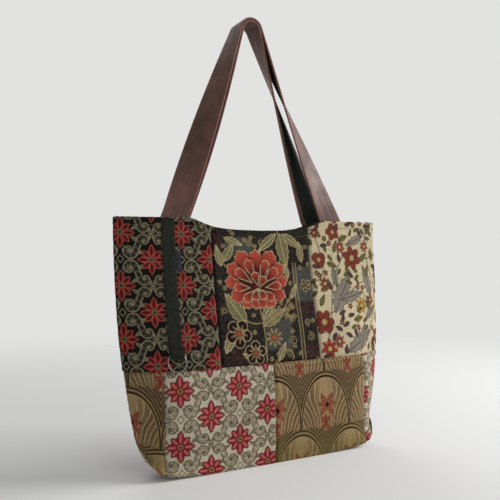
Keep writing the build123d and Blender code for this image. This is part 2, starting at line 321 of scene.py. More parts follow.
def mark_places(piece, u, v):
    """A UV map of flat places in metres, one per point of the grid."""
    layer = piece.data.uv_layers.new(name="flat_place")
    corner = np.zeros(len(piece.data.loops), np.int32)
    piece.data.loops.foreach_get("vertex_index", corner)
    flat = np.stack([np.ravel(u), np.ravel(v)], axis=1) * MM
    layer.data.foreach_set("uv", flat[corner].astype(np.float32).ravel())


def mark_colours(piece, cloth, name="woven_colour"):
    """A colour for each point of the grid."""
    layer = piece.data.color_attributes.new(name, "FLOAT_COLOR", "POINT")
    values = np.ones((cloth.shape[0] * cloth.shape[1], 4), np.float32)
    values[:, :3] = cloth[..., :3].reshape(-1, 3)
    layer.data.foreach_set("color", values.ravel())


def node(tree, kind, settings=(), **links):
    """Add one shader node; a key names a socket, or i2 its number, and a socket as value is linked."""
    made = tree.nodes.new("ShaderNode" + kind)
    for key, value in dict(settings).items():
        setattr(made, key, value)
    for key, value in links.items():
        socket = made.inputs[int(key[1:])] if key[1:].isdigit() else made.inputs[key.replace("_", " ")]
        if isinstance(value, bpy.types.NodeSocket):
            tree.links.new(value, socket)
        else:
            socket.default_value = value
    return made


def new_material(name):
    """An empty material with its shader and output: the tree and the shader are given back with it."""
    made = bpy.data.materials.new(name)
    made.use_nodes = True
    made.node_tree.nodes.clear()
    shader = node(made.node_tree, "BsdfPrincipled")
    node(made.node_tree, "OutputMaterial", Surface=shader.outputs[0])
    return made, made.node_tree, shader


def blend(tree, share, first, second, kind="MIX"):
    """Mix two colours, each a hex code or a socket, by a share: the mixed colour is given back."""
    first, second = [(*hex_colour(code), 1) if isinstance(code, str) else code for code in (first, second)]
    settings = {"data_type": "RGBA", "blend_type": kind}
    return node(tree, "Mix", settings, i0=share, i6=first, i7=second).outputs[2]


def surface(tree, shader, colour, bump, roughness, specular):
    """Give a shader its colour, its raised grain, its roughness and how much it shines."""
    tree.links.new(colour, shader.inputs["Base Color"])
    tree.links.new(bump.outputs[0], shader.inputs["Normal"])
    shader.inputs["Roughness"].default_value = roughness
    shader.inputs["Specular IOR Level"].default_value = specular


def bands(tree, place, direction, spacing, distortion, **finer):
    """Threads or ribs: a band texture repeats every 0.314 over its scale, and the spacing is in metres."""
    return node(tree, "TexWave", {"bands_direction": direction}, Vector=place, Scale=0.314 / spacing,
                Distortion=distortion, **finer)


def claim(piece, material, slot, *nodes):
    """Finish a piece that moves with the bag, and say which nodes it stands for; the slot is not used."""
    piece.data.materials.append(material)
    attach(piece, "bag")
    if nodes:
        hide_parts(*nodes)


def jacquard(name, thread, roughness):
    """Jacquard cloth: the woven colour, crossed by thicker and thinner threads that also stand out; painted
    shade darkens the colour between the threads and a painted highlight lightens it on their tops.

    It looks matt and a little uneven, with pinpoint shadows between threads; these are drawn about twice as
    coarse as real ones, so that they still show.
    """
    made, tree, shader = new_material(name)
    place = node(tree, "UVMap", {"uv_map": "flat_place"}).outputs[0]
    colour = node(tree, "VertexColor", {"layer_name": "woven_colour"}).outputs[0]
    warp = bands(tree, place, "X", thread, 1.2, Detail=1.0, Detail_Scale=2.0)
    weft = bands(tree, place, "Y", thread * 0.8, 1.2, Detail=1.0, Detail_Scale=2.0)
    threads = node(tree, "Math", {"operation": "MULTIPLY"}, i0=warp.outputs[1], i1=weft.outputs[1])
    slub = node(tree, "TexNoise", Vector=place, Scale=620.0, Detail=2.0)
    wear = node(tree, "TexNoise", Vector=place, Scale=24.0, Detail=3.0)
    grain = node(tree, "MapRange", Value=slub.outputs[0], i1=0.3, i2=0.7, i3=0.62, i4=1.3)
    # Painted shade and highlight: the colour is multiplied down in the gaps between threads and up on the
    # threads.
    lift = node(tree, "MapRange", Value=threads.outputs[0], i1=0.0, i2=0.8, i3=0.84, i4=1.1)
    fade = node(tree, "MapRange", Value=wear.outputs[0], i1=0.35, i2=0.65, i3=0.9, i4=1.08)
    # The colour factor: random thread thickness tone, the painted thread shade and highlight, and patchy
    # wear.
    shade = node(tree, "Math", {"operation": "MULTIPLY"}, i0=grain.outputs[0], i1=lift.outputs[0])
    shade = node(tree, "Math", {"operation": "MULTIPLY"}, i0=shade.outputs[0], i1=fade.outputs[0])
    tint = blend(tree, 1.0, colour, shade.outputs[0], "MULTIPLY")
    height = node(tree, "Math", {"operation": "ADD"}, i0=threads.outputs[0], i1=slub.outputs[0])
    bump = node(tree, "Bump", Strength=0.35, Distance=0.0004, Height=height.outputs[0])
    surface(tree, shader, tint, bump, roughness, 0.12)
    shader.inputs["Sheen Weight"].default_value = 0.02
    shader.inputs["Sheen Roughness"].default_value = 0.5
    return made


def sewn_patch(name, node_name, runs, upward, step, pattern, first, material):
    """One patch: its form, its pattern on flat places, its relief, its finish and what it stands for."""
    points = wall_grid(runs, upward, step)
    along, up = cloth_places(points)
    u = first + along if first is not None else runs[-1][2] - (along[:, -1:] - along)
    v = BAND_SEAM + up if upward else BAND_SEAM - up
    cloth = pattern(u, v)
    speckle = np.random.default_rng(len(name)).normal(1, 0.07, u.shape)
    cloth[..., :3] *= np.clip(speckle, 0.7, 1.3)[..., None]
    out = surface_normals(points) * (1 if upward else -1)
    lift = sewn_form(along, up, upward) + cloth[..., 3]
    if not upward:
        lift = np.where(points[..., 2] < 1.5, np.minimum(lift, 0), lift)
    shaped = points + out * lift[..., None]
    shaped[..., 2] = np.maximum(shaped[..., 2], 0.0) + corner_rise(points)
    piece = grid_mesh(name, shaped, flip=not upward)
    mark_places(piece, u, v)
    mark_colours(piece, cloth)
    claim(piece, material, material["record_slot"], node_name)


dark_star_ink = {"ground": "#0f0b09", "scroll": "#565040", "shade": "#1d1a15", "line": "#8d8469",
                 "star_edge": "#260a0a", "star_rim": "#b5564a", "star": "#8a2c26",
                 "star_vein": "#431012", "heart": "#7c7659"}
dark_star_jacquard = jacquard("dark_star_jacquard", 0.0014, 0.82)
dark_star_jacquard["record_slot"] = "dark_star_cloth"


def dark_star(u, v):
    """Dark star cloth, with the repeat of 77 by 65.5 mm placed as on the bag."""
    return star_cloth(u, v, (-195.0, 267.5), (77.0, 65.5), dark_star_ink)


sewn_patch("dark_star_cloth_left", "dark_star_patch_left", [(BACK, -175, -FOLD), (FRONT, -FOLD, -75)],
           True, 0.85, dark_star, None, dark_star_jacquard)
sewn_patch("dark_star_cloth_back", "dark_star_patch_back", [(BACK, 175, 0)], True, 1.2,
           dark_star, -175.0, dark_star_jacquard)

# Cream star patches: the same jacquard weave on an oatmeal ground, with crimson stars and taupe scrolls.
# Three are sewn in below the band seam, one of them round the right side.
cream_star_ink = {"ground": "#cabfa8", "scroll": "#877a64", "shade": "#b3a78e", "line": "#62553f",
                  "star_edge": "#5c1519", "star_rim": "#7d1d23", "star": "#9c3036",
                  "star_vein": "#bb706a", "heart": "#96834f"}
cream_star_jacquard = jacquard("cream_star_jacquard", 0.0014, 0.85)
cream_star_jacquard["record_slot"] = "cream_star_cloth"


def cream_star(u, v):
    """Cream star cloth, with the repeat of 79 by 67 mm placed as on the bag."""
    return star_cloth(u, v, (-131.0, 71.5), (79.0, 67.0), cream_star_ink)


sewn_patch("cream_star_cloth_front", "cream_star_patch_front", [(FRONT, -150, 0)], False, 0.8,
           cream_star, -150.0, cream_star_jacquard)
sewn_patch("cream_star_cloth_right", "cream_star_patch_right", [(FRONT, 150, FOLD), (BACK, FOLD, 100)],
           False, 0.9, cream_star, 150.0, cream_star_jacquard)
sewn_patch("cream_star_cloth_back", "cream_star_patch_back", [(BACK, -50, -FOLD)], False, 1.2,
           cream_star, 50.0, cream_star_jacquard)

# Rose patches: charcoal tapestry with blocks of slate and maroon tweed, a coral blossom and gold leaves.
# The front one is the middle of the upper band; the back one is its fellow.
rose_ink = {"ground": "#17100d", "slate": "#52514c", "maroon": "#351715", "gold": "#9c8b60",
            "leaf": "#877e58", "leaf_dark": "#4d4931", "coral": "#b94c3b", "deep": "#541514",
            "cream": "#c6b487", "pansy": "#230b0d", "heart": "#b8503c"}
rose_tapestry = jacquard("rose_tapestry", 0.0014, 0.84)
rose_tapestry["record_slot"] = "rose_cloth"


def fan_petal(cloth, u, v, base, turn, length, spread, colours):
    """A fan-shaped petal: its end is a flat arch with three lobes; pale rim, bright blade, deep streaks."""
    rim, light, deep = colours
    radius = np.hypot(u - base[0], v - base[1])
    angle = np.arctan2(v - base[1], u - base[0]) - math.radians(turn)
    angle = (angle + math.pi) % (2 * math.pi) - math.pi
    share = angle / math.radians(spread)
    end = length * (1 - 0.3 * np.abs(share) ** 2.5) + 0.06 * length * np.abs(np.cos(share * 1.5 * math.pi))
    gap = np.maximum(radius - end, (np.abs(angle) - math.radians(spread)) * radius)
    lay(cloth, inside(gap), rim, 0.5)
    lay(cloth, inside(gap + 1.1), light, 0.6)
    lay(cloth, inside(gap + 1.1) * ease(1.35 - 1.3 * radius / length) * 0.9, deep, 0.3)
    streak = np.abs((share * 3.5 + 0.5) % 1 - 0.5)
    lay(cloth, inside(gap + 1.6) * inside(streak - 0.09, 0.14) * (radius < 0.86 * length) * 0.75, deep, 0.4)


def flower(cloth, u, v, centre, radius, count, turn, colours, pinch=0.35):
    """A simple flower: petals with round ends, a line between them and a round heart."""
    edge, blade, heart = colours
    reach = np.hypot(u - centre[0], v - centre[1])
    angle = np.arctan2(v - centre[1], u - centre[0]) - math.radians(turn)
    share = (angle * count / (2 * math.pi)) % 1 - 0.5
    gap = reach - radius * (1 - pinch * (2 * np.abs(share)) ** 2)
    between = (0.5 - np.abs(share)) * 2 * math.pi * reach / count
    lay(cloth, inside(gap), edge, 0.35)
    lay(cloth, inside(np.maximum(gap + 0.9, 0.8 - between)), blade, 0.45)
    lay(cloth, inside(np.maximum(gap + radius * 0.35, np.abs(share) * reach - 0.5)) * 0.6, edge, 0.4)
    lay(cloth, inside(reach - radius * 0.24), heart, 0.5)


def curve_points(points, count=24):
    """A smooth line near a few points: the average of them weighted by Bernstein terms."""
    points = np.asarray(points, float)
    share = np.linspace(0, 1, count)[:, None]
    order = len(points) - 1
    weight = lambda place: math.comb(order, place) * share**place * (1 - share) ** (order - place)
    return sum(weight(place) * point for place, point in enumerate(points))


def stem(cloth, u, v, points, width, code, rise=0.3):
    """A stem of one width along a smooth line near a few points."""
    lay(cloth, inside(near_path(u, v, curve_points(points), 6.0)[0] - width / 2), code, rise)


def curl(cloth, u, v, centre, size, turn, code):
    """A small open curl: a spiral of one and a half turns drawn as a thin line."""
    angle = np.linspace(0, 3 * math.pi, 26)
    reach = size * (0.25 + 0.75 * angle / angle[-1])
    path = np.stack([reach * np.cos(angle + turn), reach * np.sin(angle + turn)], axis=1) + centre
    lay(cloth, inside(near_path(u, v, path, 5.0)[0] - 0.55), code, 0.35)


def scatter(cloth, u, v, count, seed, draw):
    """Fill empty ground: draw at random spots where the weave is flat for a few millimetres round."""
    rng = np.random.default_rng(seed)
    columns, rows = u[len(u) // 2], v[:, v.shape[1] // 2]
    for place in range(count):
        x, y = rng.uniform(columns.min(), columns.max()), rng.uniform(rows.min(), rows.max())
        pick = [(np.abs(rows - y - b).argmin(), np.abs(columns - x - a).argmin())
                for a, b in ((0, 0), (4, 0), (-4, 0), (0, 4), (0, -4))]
        if max(cloth[row, column, 3] for row, column in pick) < 0.12:
            draw(x, y, rng.uniform(0, 360))


def rose_ground(u, v):
    """Charcoal ground with soft-edged blocks of tweed and gold warp lines."""
    cloth = plain_cloth(u, rose_ink["ground"])
    blocks = [(-56, -16, 272, 296, "slate"), (44, 73, 208, 256, "slate"), (-6, 34, 146, 186, "slate"),
              (-74, -60, 282, 300, "maroon"), (40, 73, 190, 207, "maroon"), (4, 42, 192, 214, "maroon"),
              (-60, -18, 132, 150, "maroon"), (24, 44, 222, 252, "maroon"), (50, 73, 130, 150, "maroon")]
    for low, high, bottom, top, key in blocks:
        gap_u = np.abs(u - (low + high) / 2) - (high - low) / 2
        gap_v = np.abs(v - (bottom + top) / 2) - (top - bottom) / 2
        gap = np.maximum(gap_u, gap_v)
        lay(cloth, inside(gap, 3.0) * 0.9, rose_ink[key], 0.05)
    tweed = np.random.default_rng(5).random(u.shape)
    lay(cloth, (tweed > 0.82) * 0.3, "#857f72", 0.05)
    lay(cloth, (tweed < 0.2) * 0.6, "#0b0909", 0.0)
    for place in (45.5, 50.0):
        line = np.abs(u - place - 0.9 * np.sin(v / 21)) - 0.8
        lay(cloth, inside(np.maximum(line, v - 262)) * 0.9, rose_ink["gold"], 0.25)
    return cloth


def rose_leaves(cloth, u, v):
    """Stems, gold leaves and curls of the rose cloth, and small curls in the ground that is left."""
    gold = rose_ink["gold"]
    leaf_colours = (rose_ink["cream"], rose_ink["leaf"], rose_ink["leaf_dark"])
    for points in (
            [(-12, 226), (-14, 200), (-4, 176), (-10, 129)], [(-10, 190), (12, 184), (26, 196), (41, 224)],
            [(-12, 182), (-34, 178), (-46, 196), (-56, 222)], [(24, 306), (25, 290), (31, 268), (20, 250)],
            [(-74, 274), (-58, 262), (-52, 250), (-44, 246)], [(6, 140), (20, 150), (36, 142), (30, 132)]):
        stem(cloth, u, v, points, 1.7, gold)
    for base, turn, length, width in (
            ((27, 302), -80, 48, 21), ((22, 302), -140, 40, 14), ((31, 302), -34, 38, 13),
            ((-34, 182), 124, 50, 23), ((-10, 178), 30, 44, 18), ((-8, 186), 58, 34, 13),
            ((-60, 264), 58, 30, 14), ((-63, 258), 104, 30, 12), ((37, 212), 62, 24, 9),
            ((-68, 146), 62, 36, 15), ((8, 131), 60, 28, 11), ((-58, 296), -20, 30, 11),
            ((36, 240), 100, 22, 9), ((-22, 132), 150, 26, 11), ((60, 262), 96, 30, 12)):
        leaf(cloth, u, v, base, turn, length, width, leaf_colours, 0.16)
    for spot, size, turn in (
            ((-20, 288), 5, 0.6), ((-2, 290), 5, 2.4), ((34, 156), 7, 0.4), ((27, 141), 6, 1.9),
            ((60, 284), 5, 3.0), ((-64, 200), 5, 1.0), ((62, 160), 6, 5.0), ((60, 180), 5, 2.0)):
        curl(cloth, u, v, spot, size, turn, gold)
    rng = np.random.default_rng(11)
    for place in range(26):
        spot = (4 + 36 * rng.random(), 184 + 28 * rng.random())
        curl(cloth, u, v, spot, 2.6 + 2.2 * rng.random(), 6.3 * rng.random(), gold)


def rose(u, v):
    """Rose cloth: ground and leaves, then the dark flowers, then the blossom from the outside in."""
    cloth = rose_ground(u, v)
    gold = rose_ink["gold"]
    rose_leaves(cloth, u, v)
    for centre, radius, turn in (((-47, 170), 19, 20), ((-25, 144), 16, 50), ((63, 230), 9, 10)):
        flower(cloth, u, v, centre, radius, 5, turn,
               (rose_ink["cream"], rose_ink["pansy"], rose_ink["heart"]), 0.3)
        flower(cloth, u, v, centre, radius * 0.55, 9, turn,
               (rose_ink["pansy"], gold, rose_ink["heart"]), 0.85)
    flower(cloth, u, v, (5, 162), 14, 9, 8, (rose_ink["ground"], gold, rose_ink["heart"]), 0.82)
    heart = np.array([-12, 229])
    petals = (rose_ink["cream"], rose_ink["coral"], rose_ink["deep"])
    fold = (rose_ink["deep"], rose_ink["pansy"], rose_ink["deep"])
    for turn, length, spread in (
            (12, 45, 15), (168, 46, 15), (36, 49, 16), (144, 50, 16), (62, 53, 16), (118, 53, 17),
            (90, 49, 15), (198, 41, 18), (-18, 41, 18), (228, 33, 20), (-48, 33, 20), (258, 28, 20),
            (-76, 28, 18)):
        fan_petal(cloth, u, v, heart, turn, length, spread, petals)
    for turn, length, width in (
            (154, 40, 9), (131, 47, 8), (103, 46, 9), (76, 44, 7), (49, 46, 9), (24, 39, 8), (182, 33, 7),
            (-4, 34, 6)):
        leaf(cloth, u, v, heart, turn, length, width, fold)
    for shift, turn, length, spread in (
            ((-7, 6), 142, 29, 19), ((8, 5), 40, 30, 20), ((-2, 8), 112, 31, 17), ((4, 8), 66, 30, 18),
            ((-10, 0), 176, 24, 20), ((11, 0), 6, 24, 20), ((-5, -3), 222, 21, 24), ((6, -3), -40, 21, 24)):
        fan_petal(cloth, u, v, heart + shift, turn, length, spread, petals)
    for turn, length, width in ((127, 24, 5), (90, 30, 6), (54, 25, 5)):
        leaf(cloth, u, v, heart + (0, 3), turn, length, width, fold)
    for shift, turn, length, spread in (
            ((1, 2), 104, 19, 26), ((3, 0), 58, 17, 26), ((-1, -2), 250, 15, 34), ((3, -2), -64, 15, 34)):
        fan_petal(cloth, u, v, heart + shift, turn, length, spread, petals)
    draw = lambda x, y, turn: curl(cloth, u, v, (x, y), 3.2, turn, gold)
    scatter(cloth, u, v, 90, 3, draw)
    return cloth


sewn_patch("rose_cloth_front", "rose_patch_front", [(FRONT, -75, 75)], True, 0.8,
           rose, -75.0, rose_tapestry)
sewn_patch("rose_cloth_back", "rose_patch_back", [(BACK, 0, -175)], True, 1.2,
           lambda u, v: rose((u + 75) % 150 - 75, v), 0.0, rose_tapestry)

# Vine patch: sand-coloured jacquard with brick flowers, taupe and olive leaves and thin dark stems.
# It is the right end of the upper band and turns round the side onto the back.
vine_ground, vine_dark = "#cdbe9a", "#3a2422"
vine_olive = (vine_dark, "#7a7438", "#57552a")
vine_jacquard = jacquard("vine_jacquard", 0.0013, 0.85)
vine_jacquard["record_slot"] = "vine_cloth"


def vine_leaves(cloth, u, v):
    """Stems and the three kinds of leaf of the vine cloth."""
    for points in (
            [(78, 140), (110, 165), (96, 220), (128, 262)],
            [(128, 262), (150, 290), (120, 300), (112, 318)],
            [(120, 132), (150, 160), (182, 150), (196, 196)],
            [(196, 196), (206, 240), (170, 250), (186, 312)],
            [(100, 190), (130, 196), (140, 226), (170, 232)], [(84, 236), (104, 244), (98, 270), (84, 300)],
            [(150, 160), (146, 190), (166, 196), (172, 214)],
            [(150, 262), (168, 276), (176, 262), (192, 268)]):
        stem(cloth, u, v, points, 1.4, vine_dark, 0.2)
    taupe = (vine_dark, "#90877a", "#766c60")
    for base, turn, length, width in (
            ((108, 190), 56, 70, 34), ((122, 134), 26, 64, 26), ((188, 210), 108, 50, 21),
            ((150, 136), 68, 40, 20), ((124, 208), 12, 48, 20), ((178, 300), 200, 40, 16),
            ((118, 226), 96, 34, 14), ((168, 178), 30, 36, 15)):
        leaf(cloth, u, v, base, turn, length, width, taupe, 0.34)
    for base, turn in (
            ((92, 254), 62), ((104, 262), -20), ((118, 276), 70), ((128, 294), 20), ((96, 298), 140),
            ((138, 256), -60), ((168, 262), 40), ((178, 238), 70), ((184, 190), 130), ((142, 178), 10),
            ((100, 166), 110), ((84, 200), 60), ((196, 262), 100), ((110, 142), 120), ((186, 302), 60),
            ((202, 222), 80), ((88, 222), 20), ((214, 190), 70), ((212, 280), 110)):
        leaf(cloth, u, v, base, turn, 20, 9, vine_olive)


def vine(u, v):
    """Vine cloth: leaves, then flowers set one by one, then small leaves and buds in what is left."""
    cloth = plain_cloth(u, vine_ground)
    vine_leaves(cloth, u, v)
    brick = (vine_dark, "#7f3528", "#b89a60")
    for centre, radius, count, turn in (
            ((152, 268), 18, 6, 10), ((87, 178), 18, 6, 30), ((90, 266), 13, 3, 90),
            ((196, 150), 13, 5, 20), ((118, 306), 13, 5, 0), ((210, 244), 14, 6, 0)):
        flower(cloth, u, v, centre, radius, count, turn, brick)
    for centre, radius, code in (
            ((162, 198), 12, "#b98d38"), ((130, 284), 10, "#a9554f"), ((184, 204), 9, "#9e3c3e"),
            ((91, 141), 14, "#a83c2a"), ((109, 150), 10, "#ad5a4e"), ((97, 232), 10, "#8f4634"),
            ((180, 284), 9, "#a9554f"), ((204, 178), 10, "#b98d38"), ((84, 304), 8, "#8f3434")):
        flower(cloth, u, v, centre, radius, 7, 12, (vine_dark, code, "#c9aa62"), 0.5)
    plum = (vine_dark, "#5f4247", "#3c2428")
    scatter(cloth, u, v, 110, 21, lambda x, y, turn: leaf(cloth, u, v, (x, y), turn, 15, 7, plum))
    scatter(cloth, u, v, 160, 22, lambda x, y, turn: leaf(cloth, u, v, (x, y), turn, 13, 6, vine_olive))
    bud = (vine_dark, "#9a4840", "#c9aa62")
    scatter(cloth, u, v, 160, 23, lambda x, y, turn: flower(cloth, u, v, (x, y), 4.5, 5, turn, bud))
    return cloth


sewn_patch("vine_cloth_right", "vine_patch_right", [(FRONT, 75, FOLD), (BACK, FOLD, 175)], True, 0.85,
           vine, 75.0, vine_jacquard)

# Arch patches: taupe chenille with rows of tall arches, each row set half an arch along from the next.
# Dark double lines edge the arches, and a red-brown lily stands in each.
arch_chenille = jacquard("arch_chenille", 0.0015, 0.88)
arch_chenille["record_slot"] = "arch_cloth"
ARCH_WIDE, ARCH_HIGH, ARCH_HALF, ARCH_TOP = 79.0, 75.0, 37.5, 62.0
arch_ink = {"field": "#69553f", "stem": "#3c2a19", "tan": "#9a8159", "line": "#22150b", "light": "#ad9168",
            "heart": "#33130f"}
arch_lily = ("#7d3029", "#a3694a", "#521c17")


def arch_row(cloth, u, v, first, apex):
    """One row of arches: each is a level of a rounded ellipse sum, and its lines and stems are nearby levels.

    Below its widest level an arch goes straight down, and the next row covers it; blades fan out inside it.
    """
    x = (u - first + ARCH_WIDE / 2) % ARCH_WIDE - ARCH_WIDE / 2
    rise = np.clip(v - (apex - ARCH_TOP), 0, None)
    size = ((np.abs(x) / ARCH_HALF) ** 2.1 + (rise / ARCH_TOP) ** 2.1) ** (1 / 2.1)
    reach = 1.12 + 0.33 * np.clip(2 * np.abs(x) / ARCH_WIDE, 0, 1) ** 1.4
    beside, ridge = inside(size - reach, 0.03), np.abs((size * 13) % 1 - 0.5)
    lay(cloth, beside, arch_ink["field"], 0.2)
    lay(cloth, beside * inside(ridge - 0.15, 0.14), arch_ink["stem"], 0.3)
    lay(cloth, beside * inside(0.4 - ridge, 0.14) * 0.8, arch_ink["tan"], 0.3)
    lay(cloth, inside(size - 1.115, 0.02), arch_ink["line"], 0.3)
    lay(cloth, inside(size - 1.09, 0.02), arch_ink["tan"], 0.4)
    lay(cloth, inside(size - 1.05, 0.02), arch_ink["line"], 0.4)
    lay(cloth, inside(size - 1.0, 0.02), arch_ink["light"], 0.1)
    within = inside(size - 0.975, 0.03)
    within = within * ease(np.abs(x) / 28 + 0.35 - 0.35 * rise / ARCH_TOP)
    blade = np.arctan2(x, v - apex + 112) * 23 + 0.6 * np.sin((v - apex) / 8 + 1.2 * np.sign(x))
    lay(cloth, within * inside(np.abs(blade % 2 - 1) - 0.45, 0.4) * 0.9, arch_ink["field"], 0.25)
    side_line = np.abs(np.abs(blade % 2 - 1) - 0.5) - 0.13
    lay(cloth, within * inside(side_line, 0.16) * 0.9, arch_ink["stem"], 0.25)
    lay(cloth, within * inside(np.abs(blade % 4 - 1) - 0.14, 0.2) * 0.8, arch_ink["tan"], 0.3)
    for turn, length in ((8, 15), (58, 19), (122, 19), (172, 15), (232, 18), (306, 18)):
        leaf(cloth, x - 2, v - (apex - 37), (0, 0), turn, length, 7.5, arch_lily)
    lay(cloth, inside(np.hypot(x - 2, v - (apex - 37)) - 3.0), arch_ink["heart"], 0.4)
    for turn in (52, 90, 128, 235, 305):
        leaf(cloth, x, v - (apex - ARCH_TOP), (0, 0), turn, 13, 6, arch_lily)


def arch(u, v):
    """Arch cloth: rows from the top down, each over the one above, with an olive cast low on the bag."""
    cloth = plain_cloth(u, arch_ink["field"])
    for row in range(4):
        arch_row(cloth, u, v, 78 + ARCH_WIDE / 2 * (row % 2 == 0), 179 - ARCH_HIGH * row)
    olive = ease((50 - v) / 50) * 0.35
    cloth[..., :3] += olive[..., None] * (hex_colour("#756b31") - cloth[..., :3])
    return cloth


sewn_patch("arch_cloth_front", "arch_patch_front", [(FRONT, 0, 150)], False, 0.8,
           arch, 0.0, arch_chenille)
sewn_patch("arch_cloth_left", "arch_patch_left", [(FRONT, -FOLD, -150)], False, 0.8,
           lambda u, v: arch(u + 35, v), None, arch_chenille)
sewn_patch("arch_cloth_back", "arch_patch_back", [(BACK, 100, -50)], False, 1.2,
           arch, -100.0, arch_chenille)

# Rim facing and lining: a band of plain dark cotton turned down inside the rim, and a brown lining below.
# Both are sewn round the whole mouth; the lining has a seam at each side and along the bottom.
FACING_FOOT = 276.0
FACING_IN, LINING_IN = 6.6, 3.2
SOLE_LEVEL, ROUND_COUNT = 3.4, 260


def round_columns(count):
    """Columns all the way round the bag: the front from left to right, then the back from right to left."""
    share = np.linspace(-1, 1, count)
    share = np.sign(share) * (1 - (1 - np.abs(share)) ** 1.3)
    return np.append(share, share[-2:0:-1]), np.append(np.full(count, FRONT), np.full(count - 2, BACK))


def inner_grid(heights, insets):
    """Rows of points round the inside of the bag, each with its height, or drop from the rim, and inset."""
    share, side = round_columns(ROUND_COUNT)
    rows = []
    for (from_rim, height), inset in zip(heights, insets):
        z = rim_height(share * HALF_MOUTH) - height if from_rim else np.full(share.shape, height)
        x = share * half_width(z, inset)
        rows.append(np.stack([x, body_wall(x, z, side, inset), z], axis=1))
    points = np.array(rows)
    points[..., 2] += corner_rise(points)
    return points


def plain_weave(name, dark, light, thread):
    """Plain cotton: two close colours by noise and over-and-under threads, so it looks flat, dry and dull."""
    made, tree, shader = new_material(name)
    place = node(tree, "TexCoord").outputs["Object"]
    cloud = node(tree, "TexNoise", Vector=place, Scale=300.0, Detail=3.0)
    tint = blend(tree, cloud.outputs[0], dark, light)
    check = bands(tree, place, "Z", thread, 1.5)
    bump = node(tree, "Bump", Strength=0.3, Distance=0.0003, Height=check.outputs[1])
    surface(tree, shader, tint, bump, 0.9, 0.2)
    return made


def inner_piece(name, nodes, heights, insets, material, slot):
    """One round piece of the inside, with its faces towards the hollow."""
    points = inner_grid(heights, insets)
    piece = grid_mesh(name, points, flip=True, closed=True)
    claim(piece, material, slot, *nodes)


facing_cotton = plain_weave("dark_facing_cotton", "#26221d", "#3a332b", 0.0011)
lining_cotton = plain_weave("brown_lining_cotton", "#4d4031", "#66563f", 0.0011)
facing_steps = [(True, 3.0), (True, 1.2), (True, 0.9), (True, 1.5), (True, 3.5), (True, 10), (True, 11.5)]
facing_heights = facing_steps + [(False, z) for z in (295, 290, 285, 280, 277, FACING_FOOT)]
facing_insets = [2.4, 2.7, 3.6, 5.2, 6.2, FACING_IN, 6.9] + [FACING_IN] * 5 + [4.0]
inner_piece("rim_facing_cotton", ["rim_facing"], facing_heights, facing_insets, facing_cotton, "facing_cloth")
lining_levels = [278, 274] + list(np.linspace(268, 14, 48)) + [10, 7, 5, 4, SOLE_LEVEL]
inner_piece("lining_cotton", ["lining_front", "lining_back"], [(False, z) for z in lining_levels],
            [LINING_IN] * len(lining_levels), lining_cotton, "lining_cloth")
sole_share, sole_side = round_columns(ROUND_COUNT)
sole_x = sole_share * half_width(SOLE_LEVEL, LINING_IN)
sole_z = np.full(sole_x.shape, SOLE_LEVEL)
sole_reach = body_wall(sole_x, sole_z, sole_side, LINING_IN) - SOLE_SEAM
sole_points = np.array([np.stack([sole_x, SOLE_SEAM + sole_reach * share, sole_z], axis=1)
                        for share in np.linspace(1, 0, 12)])
sole_points[..., 2] += corner_rise(sole_points)
sole = grid_mesh("lining_sole", sole_points, flip=True, closed=True)
claim(sole, lining_cotton, "lining_cloth")

# Handles: two long straps of worn brown leather, each with its long edges turned in round a dark tape.
# The ends go in under the facing; both straps turn a quarter on the way up and nest at the top, tape to tape.
LEATHER, FACE_HALF, TAPE_HALF = 1.4, 16.1, 11.0
BEND_RADIUS = 11.0
FRAME_DROP, LEG_RISE, LEG_IN, TUCK_DOWN = 14, 9, 3.9, 36
BEND_CENTRE = np.array([-20.0, 13.0, 568.0])


def unit(vector):
    """A vector, or each of an array of vectors, divided by its length."""
    return vector / np.linalg.norm(vector, axis=-1, keepdims=True)


def wall_frame(x, z, side):
    """A point of the wall, and its unit directions along X, up the wall and outward, from small steps."""
    spot = lambda a, b: np.array([a, float(body_wall(np.float64(a), np.float64(b), side)), b])
    along, up = unit(spot(x + 0.5, z) - spot(x - 0.5, z)), unit(spot(x, z + 0.5) - spot(x, z - 0.5))
    return spot(x, z), along, up, np.cross(along, up) * -side


def strap_leg(end, side, spread, shift, bend):
    """Stations of one leg from its sewn-in end to the bend: points, rising directions, normals and the turn.

    The leg is straight from the rim to its bend, and its normal turns a quarter by cosine and sine.
    """
    across = end * spread / 2 + shift
    point, along, up, outward = wall_frame(across, BODY_HEIGHT - FRAME_DROP, side)
    lean = (BEND_CENTRE[0] + end * BEND_RADIUS - across) / (BEND_CENTRE[2] - BODY_HEIGHT)
    rising = unit(up + along * lean)
    start = point + rising * FRAME_DROP - outward * LEG_IN + rising * LEG_RISE
    reach = (start - BEND_CENTRE)[[0, 2]]
    turn = math.atan2(reach[1], reach[0]) + end * math.acos(bend / np.linalg.norm(reach))
    radial = np.array([math.cos(turn), 0, math.sin(turn)])
    tangent = np.array([-radial[2], 0, radial[0]]) * end
    share = np.linspace(0, 1, 90)[:, None]
    normals = outward * np.cos(share * math.pi / 2) + radial * -side * np.sin(share * math.pi / 2)
    points = start + (BEND_CENTRE + radial * bend - start) * share
    tuck = np.linspace(-TUCK_DOWN, -2, 9)[:, None]
    points = np.vstack([start + rising * tuck, points])
    directions = np.vstack([rising + 0 * tuck, rising * (1 - share) + tangent * share])
    return points, unit(directions), np.vstack([outward + 0 * tuck, normals]), turn % (2 * math.pi)


